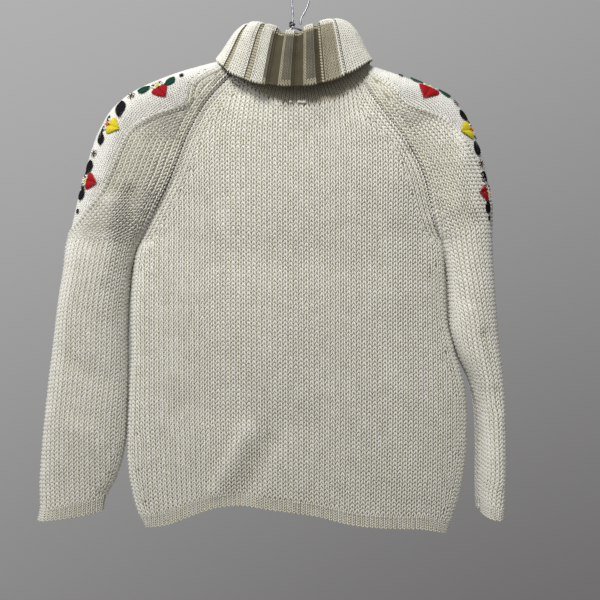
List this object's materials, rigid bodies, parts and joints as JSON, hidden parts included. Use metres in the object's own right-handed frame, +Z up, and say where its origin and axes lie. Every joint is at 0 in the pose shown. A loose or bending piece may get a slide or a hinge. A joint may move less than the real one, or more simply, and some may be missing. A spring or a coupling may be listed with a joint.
{
  "type": "embroidered turtleneck sweater on a hanger",
  "caption": "Cream raglan turtleneck sweater hung flat on a wire hanger, back to the viewer, with a wide-rib folded collar and flower embroidery along the shoulders.",
  "frame": {"origin": "inner top of the hanger's hook, where a rail carries it", "axes": "+Z up, +X to the right as seen from the sweater's back, +Y out of its front"},
  "size_m": [0.6268, 0.118, 0.7719],
  "materials": {
    "cream_knit": "matte heavy knit",
    "fine_knit": "matte fine knit",
    "steel_wire": "smooth dark wire"
  },
  "bodies": {
    "root": {"back": "cream_knit", "front": "cream_knit", "sleeve_left": "cream_knit", "sleeve_right": "cream_knit", "strip_left": "fine_knit", "strip_right": "fine_knit", "neck_band": "cream_knit", "collar": "cream_knit", "hem_back": "cream_knit", "hem_front": "cream_knit", "cuff_left": "cream_knit", "cuff_right": "cream_knit", "hanger": "steel_wire"}
  },
  "joints": []
}
